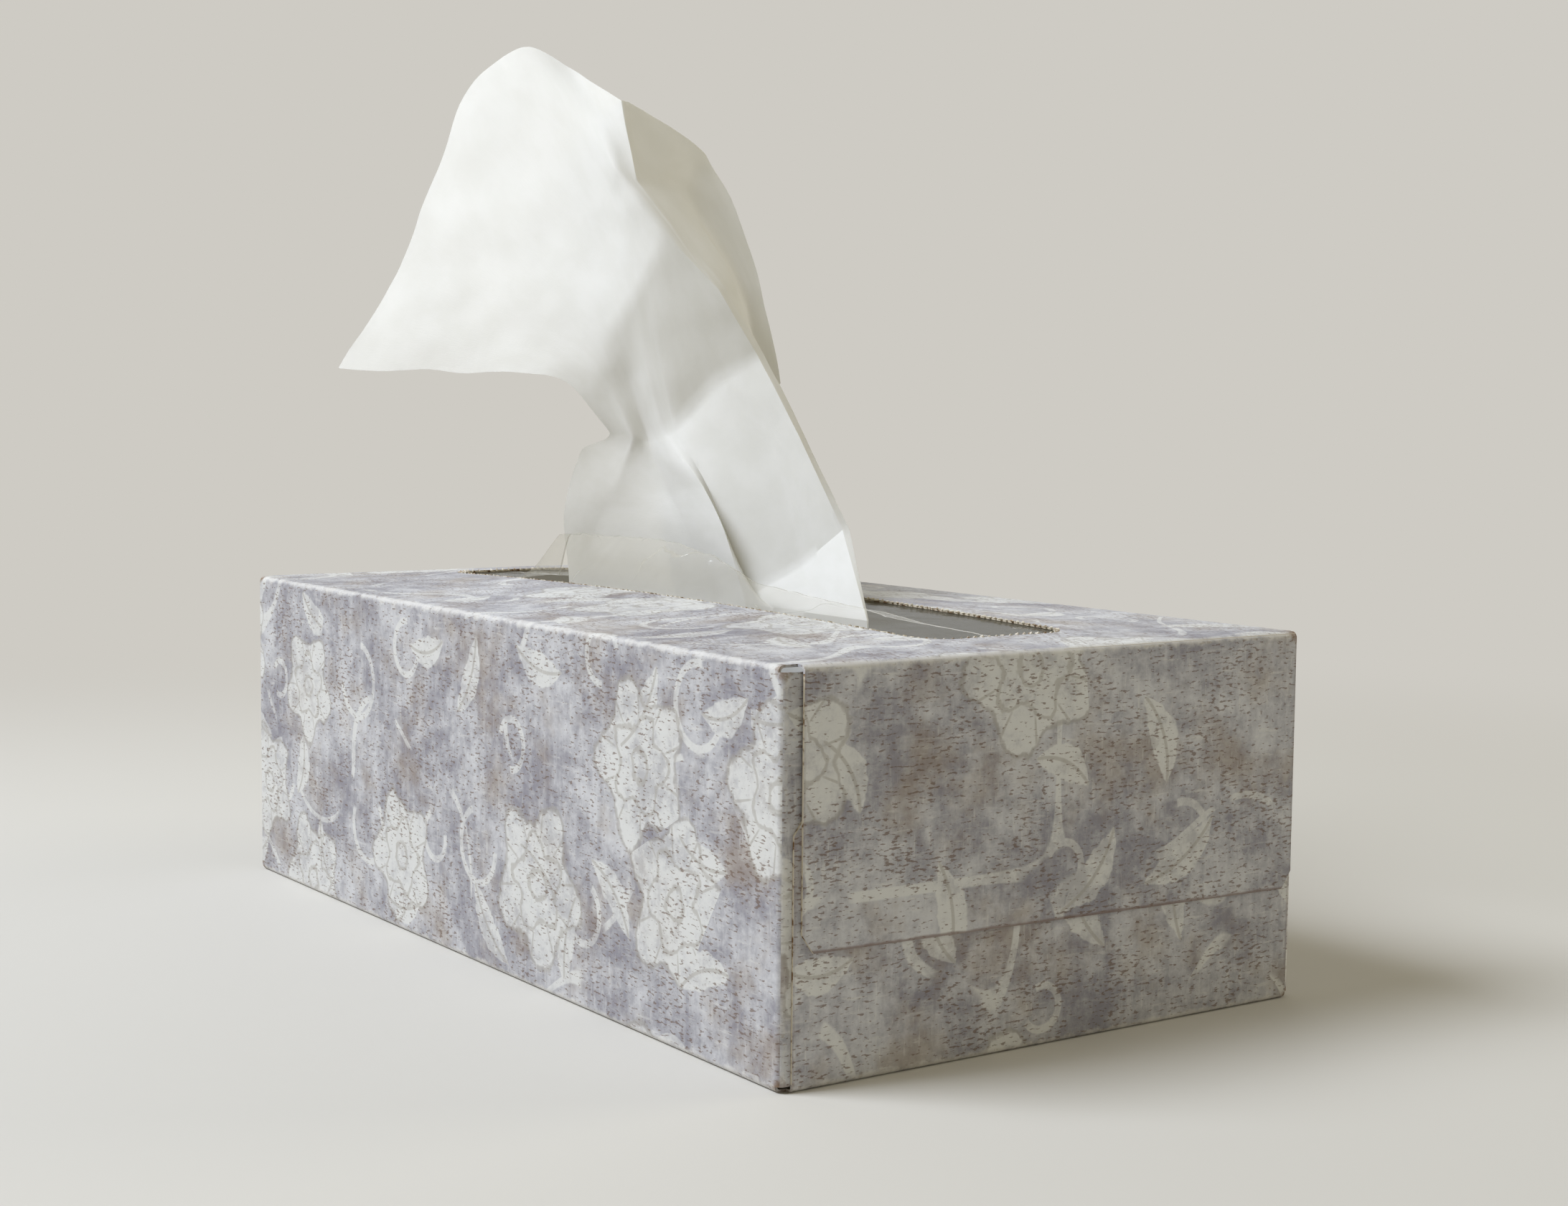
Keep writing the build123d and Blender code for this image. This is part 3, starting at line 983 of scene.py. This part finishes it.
@dataclass
class FilmWindow:
    """The clear film under the opening, drawn up to two lips round the tissue."""

    sizes: CartonSizes
    half_length: float = 104.0
    half_width: float = 24.0
    foot: float = 16.3
    lip_side: float = 6.6
    slit_shift: float = -6.5
    slit_half: float = 66.5
    gap_half: float = 6.0
    lip_top: float = 85.5
    rear_lip_share: float = 0.12
    thickness: float = 0.06
    clearance: float = 0.12
    steepness: float = 1.25
    bulge: float = 0.35
    pleat_length: float = 6.5
    pleat_height: float = 0.9
    pleat_swell: float = 0.8
    tremble_length: float = 2.6
    tremble_height: float = 0.22
    slack: float = 0.25
    weld_reach: float = 0.01
    crisp: float = 60.0
    columns: int = 190
    rows: int = 34
    lip_line_shares: Shares = (
        (-1.48, 0.0),
        (-0.92, 0.03),
        (-0.86, 0.50),
        (-0.81, 0.92),
        (-0.36, 1.0),
        (-0.05, 1.0),
        (0.22, 0.76),
        (0.44, 0.36),
        (1.0, 0.10),
        (1.2, 0.02),
        (1.6, 0.0),
    )

    def slit_place(self, x: float) -> float:
        """The place along the slit, from -1 to 1 between its ends."""
        return (x - self.slit_shift) / self.slit_half

    def crest(self, x: float) -> float:
        """How high the front lip stands at one place, as a share of the lips' height."""
        return float(np.interp(self.slit_place(x), *zip(*self.lip_line_shares)))

    def level(self, x: float, y: float) -> float:
        """The film's height under the bowed panel."""
        return self.sizes.top_level(x, y) - self.sizes.board - self.clearance

    def half(self, side: int) -> np.ndarray:
        """The points of the film on one side of the slit.

        Args:
            side: -1 for the front half, 1 for the rear one.

        Returns:
            The points, column by column from the glued border to the lip.
        """
        points = []
        for x in np.linspace(-self.half_length, self.half_length, self.columns):
            gap = self.gap_half * math.sqrt(max(1 - self.slit_place(x) ** 2, 0.0))
            rise = self.crest(x) * (self.rear_lip_share if side > 0 else 1.0)
            for t in np.linspace(0, 1, self.rows):
                y = self.half_width + (gap - self.half_width) * t
                base = self.level(x, max(y, self.foot))
                climb = min(max((self.foot - y) / (self.foot - self.lip_side), 0.0), 1.0)
                curve = climb**self.steepness * (1 + self.bulge - self.bulge * climb)
                z = base + rise * (self.lip_top - base) * curve
                pleat = abs(noise.noise(Vector((x / self.pleat_length, 0.09 * y, 11.0 * side))))
                tremble = noise.noise(Vector((x / self.tremble_length, y / 3.0, 5.0 * side)))
                loose = climb * (self.slack + rise)
                z += loose * (self.pleat_height * pleat + self.tremble_height * tremble)
                out = loose * self.pleat_swell * pleat * climb
                points.append((x, side * (y + out), z))
        return np.array(points)

    def build(self) -> Piece:
        """Builds the film as one sheet with its slit.

        Returns:
            The film.
        """
        size = self.columns * self.rows
        points = np.concatenate([self.half(-1), self.half(1)])
        front = grid_faces(self.columns, self.rows)
        rear = [tuple(number + size for number in face[::-1]) for face in front]
        piece = mesh_piece("film", points, front + rear)
        along, across = np.linspace(0, 1, self.columns), np.linspace(0, 1, self.rows)
        charted(piece, along, across)
        weld = piece.modifiers.new("weld", "WELD")
        weld.merge_threshold = self.weld_reach * MM
        settled(piece)
        thickened(piece, self.thickness, self.crisp)
        piece.data.materials.append(ClearFilm().material())
        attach(piece, "root")
        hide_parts("film_window")
        return piece


@dataclass
class TissueStack:
    """The interfolded tissues that are left in the box, layer on layer."""

    length: float = 213.0
    width: float = 106.0
    base: float = 0.5
    height: float = 46.0
    layers: int = 40
    rings: int = 10
    side_points: tuple[int, ...] = (44, 22, 44, 22)
    unevenness: float = 0.35
    uneven_length: float = 14.0
    slack: float = 0.5
    dip: float = 0.25
    dip_length: float = 22.0
    edge_shape: Shares = ((0.04, 0.55), (0.3, 0.05), (0.7, 0.05), (0.96, 0.55))

    def outline(self, inset: float, seed: float) -> list[tuple[float, float]]:
        """One layer's outline seen from above.

        Args:
            inset: How far it stays inside the stack's sizes.
            seed: A number that moves its unevenness.

        Returns:
            Points round the layer.
        """
        half_x, half_y = self.length / 2 - inset, self.width / 2 - inset
        ring = []
        corners = ((-half_x, -half_y), (half_x, -half_y), (half_x, half_y), (-half_x, half_y))
        for index, count in enumerate(self.side_points):
            (x0, y0), (x1, y1) = corners[index], corners[(index + 1) % 4]
            for t in np.arange(count) / count:
                x, y = x0 + (x1 - x0) * t, y0 + (y1 - y0) * t
                place = Vector((x / self.uneven_length, y / self.uneven_length, seed))
                push = abs(self.unevenness * noise.noise(place))
                reach = math.hypot(x, y)
                ring.append((x - x / reach * push, y - y / reach * push))
        return ring

    def build(self) -> Piece:
        """Builds the stack from the outlines of its layers, with rings across its top.

        Returns:
            The stack.
        """
        points = []
        step = self.height / self.layers
        for layer in range(self.layers):
            bottom = self.base + layer * step
            slack = self.slack * abs(noise.noise(Vector((0.0, 0.0, layer * 1.7))))
            for share, inset in self.edge_shape:
                z = bottom + share * step
                points += [(x, y, z) for x, y in self.outline(inset + slack, layer * 0.9)]
        size = sum(self.side_points)
        rim = points[-size:]
        for ring in range(1, self.rings):
            share = 1 - ring / self.rings
            for x, y, z in rim:
                place = Vector((x * share / self.dip_length, y * share / self.dip_length, 3.0))
                points.append((x * share, y * share, z - abs(self.dip * noise.noise(place))))
        faces = []
        for start in range(0, len(points) - size, size):
            for k in range(size):
                low, following = start + k, start + (k + 1) % size
                faces.append((low, following, following + size, low + size))
        faces += [tuple(range(size))[::-1], tuple(range(len(points) - size, len(points)))]
        piece = mesh_piece("stack", np.array(points), faces)
        piece.data.materials.append(StackPaper().material())
        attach(piece, "root")
        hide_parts("tissue_stack")
        return piece


@dataclass(frozen=True)
class Crumple:
    """Lengths and depths of a handled tissue's creases, in millimetres."""

    smooth_level: float = 92.0
    smooth_fade: float = 25.0
    swell_length: float = 17.0
    swell: float = 1.1
    fine_length: float = 7.0
    fine: float = 0.45
    ridge_length: float = 12.0
    soft_share: float = 0.55
    ridge_share: float = 0.35
    edge_length: float = 15.0
    edge_wave: float = 0.8
    edge_rows: float = 12.0
    edge_lines: float = 8.0
    tail_top: float = 54.0
    tail_fade: float = 4.0
    ripple: float = 1.4
    ripple_length: float = 2.0
    ripple_wander: float = 1.5
    wander_length: float = 30.0

    def moved(self, place: Vector, normal: np.ndarray, rim: float) -> np.ndarray:
        """Works out how the creases move one point of the sheet.

        Args:
            place: The point.
            normal: The sheet's direction there.
            rim: From 0, inside the sheet, to 1, on a free edge.

        Returns:
            How far the point is moved along each axis.
        """
        free = min(max((place.z - self.smooth_level) / self.smooth_fade, 0.0), 1.0)
        soft = self.swell * noise.noise(place / self.swell_length)
        soft += self.fine * noise.noise(place / self.fine_length + Vector((9.0, 4.0, 2.0)))
        ridge = 0.5 - abs(noise.noise(place / self.ridge_length + Vector((3.0, 8.0, 5.0))))
        way = normal * free * (self.soft_share * soft + self.ridge_share * ridge)
        wave = noise.noise_vector(place / self.edge_length + Vector((2.0, 6.0, 1.0)))
        way = way + free * rim * self.edge_wave * np.array(wave)
        laid = min(max((self.tail_top - place.z) / self.tail_fade, 0.0), 1.0)
        wander = self.ripple_wander * noise.noise(place / self.wander_length)
        way[2] += laid * self.ripple * (1 + math.sin(place.x / self.ripple_length + wander))
        return way


@dataclass
class StandingTissue:
    """The tissue that stands in the slit: one sheet, gathered, folded and blown over to the left.

    The fold lines run from the hidden tail up through the slit to the free edge.
    """

    reach: float = 100.0
    sway: float = 50.0
    rise: float = 126.0
    base: float = 73.0
    slit_shift: float = -6.5
    slit_half: float = 66.5
    gap_half: float = 6.0
    bend_height: float = 16.5
    tail_length: float = 49.0
    tail_level: float = 46.75
    tail_layer_gap: float = 1.2
    thickness: float = 0.12
    flat_width: float = 213.0
    flat_length: float = 208.0
    crisp: float = 36.0
    crumple: Crumple = Crumple()
    steps: int = 12
    tail_layer_shares: tuple[float, ...] = (0.0, 0.0, 0.0, 0.0, 0.0, 0.0, 0.3, 0.7, 1.0, 1.0, 1.0)
    slit_shares: Shares = (
        ((-0.95, 0.20), (-0.90, -0.35, 1.0)),
        ((-0.86, 0.35), (-0.67, -0.05, 1.0)),
        ((0.04, 0.05), (-0.11, -0.15, 1.0)),
        ((0.35, -0.72), (0.23, -0.80, 1.0)),
        ((0.44, -0.12), (0.33, -0.33, 0.15)),
        ((0.70, -0.08), (0.395, 1.40, 0.54)),
        ((0.935, -0.10), (0.455, 2.71, 0.99)),
        ((0.925, 0.03), (0.465, 2.94, 0.99)),
        ((0.60, 0.33), (0.32, 2.75, 1.0)),
        ((0.18, 0.58), (0.04, 1.25, 1.0)),
        ((-0.22, 0.62), (-0.23, 0.83, 1.0)),
    )
    stem_shares: Shares = (
        (-0.559, -0.07, 0.251),
        (-0.393, -0.06, 0.201),
        (-0.215, -0.013, 0.189),
        (-0.015, -0.068, 0.199),
        (-0.03, -0.03, 0.2),
        (0.065, 0.21, 0.228),
        (0.078, 0.314, 0.288),
        (0.065, 0.364, 0.286),
        (-0.006, 0.44, 0.267),
        (-0.093, 0.36, 0.238),
        (-0.2, 0.24, 0.2),
    )
    neck_shares: Shares = (
        (-0.373, -0.12, 0.29),
        (-0.286, -0.1, 0.28),
        (-0.268, -0.046, 0.28),
        (-0.199, -0.046, 0.29),
        (-0.171, -0.027, 0.3),
        (-0.122, 0.132, 0.38),
        (-0.071, 0.288, 0.431),
        (-0.08, 0.333, 0.432),
        (-0.166, 0.4, 0.451),
        (-0.179, 0.48, 0.381),
        (-0.215, 0.41, 0.29),
    )
    bend_shares: Shares = (
        (-0.411, -0.27, 0.37),
        (-0.349, -0.24, 0.42),
        (-0.302, -0.215, 0.469),
        (-0.264, -0.156, 0.52),
        (-0.245, -0.099, 0.573),
        (-0.219, -0.028, 0.639),
        (-0.132, 0.152, 0.549),
        (-0.144, 0.207, 0.55),
        (-0.254, 0.377, 0.583),
        (-0.275, 0.5, 0.506),
        (-0.226, 0.5, 0.325),
    )
    brow_shares: Shares = (
        (-0.766, -0.5, 0.4),
        (-0.664, -0.41, 0.512),
        (-0.564, -0.314, 0.612),
        (-0.456, -0.184, 0.692),
        (-0.379, -0.13, 0.728),
        (-0.346, -0.136, 0.769),
        (-0.312, -0.061, 0.744),
        (-0.327, -0.012, 0.745),
        (-0.4, 0.32, 0.738),
        (-0.305, 0.54, 0.562),
        (-0.221, 0.56, 0.358),
    )
    edge_shares: Shares = (
        (-1.14, -0.8, 0.406),
        (-0.998, -0.56, 0.628),
        (-0.955, -0.45, 0.779),
        (-0.866, -0.3, 0.972),
        (-0.727, -0.16, 1.02),
        (-0.61, -0.051, 0.97),
        (-0.42, -0.01, 0.901),
        (-0.427, 0.034, 0.899),
        (-0.433, 0.47, 0.815),
        (-0.304, 0.6, 0.589),
        (-0.217, 0.62, 0.38),
    )
    along_creases: Shares = (
        (0.6, 0.6, 0.2, 0.2, 0.3, 0.4, 0.2, 0.2, 0.0),
        (0.6, 0.6, 0.2, 0.2, 0.2, 0.8, 0.5, 0.1, 0.0),
        (0.6, 0.6, 0.2, 0.2, 0.2, 0.9, 0.6, 0.3, 0.0),
        (0.6, 0.6, 0.2, 0.2, 0.2, 1.0, 0.7, 0.6, 0.0),
        (0.6, 0.6, 1.0, 0.9, 0.2, 1.0, 0.8, 0.8, 0.0),
        (0.6, 0.6, 1.0, 1.0, 0.2, 1.0, 0.9, 0.9, 0.0),
        (0.6, 0.6, 1.0, 1.0, 1.0, 0.9, 0.9, 0.9, 0.0),
        (0.6, 0.6, 1.0, 1.0, 1.0, 0.8, 0.7, 0.7, 0.0),
        (0.6, 0.6, 1.0, 0.4, 0.2, 0.3, 0.3, 0.4, 0.0),
        (0.6, 0.6, 0.2, 0.4, 0.2, 0.3, 0.3, 0.4, 0.0),
        (0.6, 0.6, 0.2, 0.4, 0.2, 0.3, 0.3, 0.4, 0.0),
    )
    across_creases: Shares = (
        (0.0, 0.0, 0.0, 0.0, 0.0, 0.0, 0.0, 0.0, 0.0),
        (0.0, 0.0, 0.3, 0.9, 1.0, 0.8, 0.1, 0.0, 0.0),
        (0.0, 0.0, 0.5, 0.9, 1.0, 0.6, 0.1, 0.0, 0.0),
        (0.0, 0.0, 0.6, 1.0, 1.0, 0.4, 0.0, 0.0, 0.0),
        (0.0, 0.0, 0.6, 1.0, 1.0, 0.7, 0.1, 0.1, 0.0),
        (0.0, 0.0, 1.0, 1.0, 0.9, 0.3, 0.6, 0.3, 0.1),
        (0.4, 0.6, 1.0, 1.0, 1.0, 1.0, 1.0, 1.0, 0.9),
        (0.4, 0.6, 1.0, 1.0, 1.0, 1.0, 1.0, 1.0, 0.9),
        (0.0, 0.0, 0.2, 0.3, 0.4, 0.5, 0.6, 0.6, 0.4),
        (0.0, 0.0, 0.2, 0.3, 0.4, 0.5, 0.4, 0.3, 0.2),
        (0.0, 0.0, 0.0, 0.0, 0.0, 0.0, 0.0, 0.0, 0.0),
    )

    def fold_line(self, index: int) -> list[tuple[float, float, float]]:
        """Finds the points of one fold line, from its hidden tail up to the free edge.

        Args:
            index: The fold line's number.

        Returns:
            The points in millimetres.
        """
        (slit_x, slit_y), (lip_x, lip_y, lip_z) = self.slit_shares[index]
        x, y = self.slit_shift + slit_x * self.slit_half, slit_y * self.gap_half
        lie = self.tail_level + self.tail_layer_shares[index] * self.tail_layer_gap
        lip_x, lip_y = self.slit_shift + lip_x * self.slit_half, lip_y * self.gap_half
        lip = (lip_x, lip_y, self.base + lip_z * self.bend_height)
        line = [(x, y + self.tail_length, lie), (x, y, lie), (x, y, self.base), lip]
        tables = (self.stem_shares, self.neck_shares, self.bend_shares, self.brow_shares, self.edge_shares)
        for table in tables:
            along, across, up = table[index]
            line.append((along * self.reach, across * self.sway, self.base + up * self.rise))
        return line

    def surface(self) -> np.ndarray:
        """Eases the lattice of fold lines into the whole sheet.

        Returns:
            The points, across the fold lines on the first axis and along them on the second.
        """
        lattice = np.array([self.fold_line(index) for index in range(len(self.slit_shares))])
        along = eased(lattice.transpose(1, 0, 2), np.array(self.along_creases).T, self.steps)
        rows = np.linspace(0, lattice.shape[1] - 1, len(along))
        knots = np.arange(lattice.shape[1])
        creases = np.array([np.interp(rows, knots, line) for line in self.across_creases])
        return eased(along.transpose(1, 0, 2), creases, self.steps)

    def crumpled(self, points: np.ndarray) -> np.ndarray:
        """Adds the creases of a handled tissue, waves its free edges and ripples its hidden tail.

        Args:
            points: The sheet's points.

        Returns:
            The moved points.
        """
        across, along = np.gradient(points, axis=0), np.gradient(points, axis=1)
        normals = np.cross(across, along)
        normals /= np.maximum(np.linalg.norm(normals, axis=-1, keepdims=True), 1e-9)
        moved = points.copy()
        rows, lines = self.crumple.edge_rows, self.crumple.edge_lines
        for i, j in np.ndindex(points.shape[:2]):
            rim = max(j / (points.shape[1] - 1) * rows - (rows - 1), 1 - i / lines, 0.0)
            moved[i, j] += self.crumple.moved(Vector(points[i, j]), normals[i, j], rim)
        return moved

    def build(self) -> Piece:
        """Builds the sheet, with its flat coordinates, and gives it its thickness.

        Returns:
            The tissue.
        """
        points = self.crumpled(self.surface())
        columns, rows = points.shape[:2]
        piece = mesh_piece("tissue", points.reshape(-1, 3), grid_faces(columns, rows))
        width = np.linspace(0, self.flat_width, columns) * MM
        length = np.linspace(0, self.flat_length, rows) * MM
        charted(piece, width, length)
        thickened(piece, self.thickness, self.crisp)
        piece.data.materials.append(TissuePaper().material())
        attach(piece, "root")
        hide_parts("popup_tissue")
        return piece


@dataclass(frozen=True)
class Lamp:
    """One soft square lamp: its direction from the carton, distance and sides in metres, watts and hue."""

    name: str
    towards: Triple
    distance: float
    size: float
    power: float
    hue: Triple

    def build(self, aim: Triple) -> None:
        """Sets up the lamp so that it looks at a place.

        Args:
            aim: The place in metres.
        """
        data = bpy.data.lights.new(self.name, "AREA")
        data.shape = "SQUARE"
        data.size, data.energy, data.color = self.size, self.power, self.hue
        lamp = bpy.data.objects.new(self.name, data)
        bpy.context.scene.collection.objects.link(lamp)
        way = Vector(self.towards).normalized()
        lamp.location = Vector(aim) + way * self.distance
        lamp.visible_camera = False
        lamp.rotation_euler = way.to_track_quat("Z", "Y").to_euler()


@dataclass
class Studio:
    """Floor, soft lights and the camera, in metres, with the camera's lens and sensor in millimetres."""

    floor_half: float = 6.0
    sky: Rgba = (0.30, 0.277, 0.206, 1.0)
    aim: Triple = (0.02, 0.0, 0.09)
    eye: Triple = (0.42987, -0.27959, 0.11625)
    target: Triple = (0.02526, 0.0, 0.07429)
    roll: float = 0.5456
    lens: float = 53.314
    sensor: float = 36.0
    clip: float = 0.01
    lamps: tuple[Lamp, ...] = (
        Lamp("key", (-0.25, -0.60, 0.76), 1.4, 0.7, 21.3, COOL),
        Lamp("rim", (0.27, 0.92, 0.25), 1.6, 0.8, 7.6, WARM),
        Lamp("fill", (0.9, -0.15, 0.4), 1.8, 1.2, 0.3, WARM),
        Lamp("card", (-0.8, 0.57, 0.22), 1.6, 0.8, 1.5, COOL),
    )

    def backdrop(self) -> None:
        """Makes the floor and the pale world behind it."""
        half = self.floor_half / MM
        corners = np.array([(-half, -half, 0.0), (half, -half, 0.0), (half, half, 0.0), (-half, half, 0.0)])
        floor = mesh_piece("floor", corners, [(0, 1, 2, 3)])
        floor.data.materials.append(StudioFloor().material())
        world = bpy.data.worlds.new("studio")
        bpy.context.scene.world = world
        world.use_nodes = True
        nodes = Nodes(world.node_tree)
        path = nodes.node("ShaderNodeLightPath").outputs
        seen = nodes.math("MAXIMUM", path["Is Camera Ray"], path["Is Transmission Ray"])
        sky = nodes.tree.nodes["Background"].inputs
        nodes.feed(sky["Strength"], 1.0)
        nodes.feed(sky["Color"], nodes.layer(seen, self.sky, StudioFloor().pale))

    def camera(self) -> None:
        """Sets the camera where the photograph was taken."""
        data = bpy.data.cameras.new("camera")
        data.lens, data.sensor_width, data.clip_start = self.lens, self.sensor, self.clip
        camera = bpy.data.objects.new("camera", data)
        bpy.context.scene.collection.objects.link(camera)
        eye, roll = Vector(self.eye), Matrix.Rotation(math.radians(self.roll), 3, "Z")
        turn = (eye - Vector(self.target)).to_track_quat("Z", "Y").to_matrix() @ roll
        camera.matrix_world = Matrix.Translation(eye) @ turn.to_4x4()
        bpy.context.scene.camera = camera

    def build(self) -> None:
        """Builds the studio."""
        self.backdrop()
        for lamp in self.lamps:
            lamp.build(self.aim)
        self.camera()
        bpy.context.scene.view_settings.view_transform = "Standard"


def main() -> None:
    """Builds the pieces in order and reports each one."""
    logging.basicConfig(level=logging.INFO, format="%(name)s: %(message)s")
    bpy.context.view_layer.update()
    sizes = CartonSizes()
    pieces = [
        Carton(sizes).dress(),
        PerforatedRim(sizes).build(),
        FilmWindow(sizes).build(),
        TissueStack().build(),
        StandingTissue().build(),
    ]
    for piece in pieces:
        log.info("%s: %d faces", piece.name, len(piece.data.polygons))
    Studio().build()


if __name__ == "__main__":
    main()
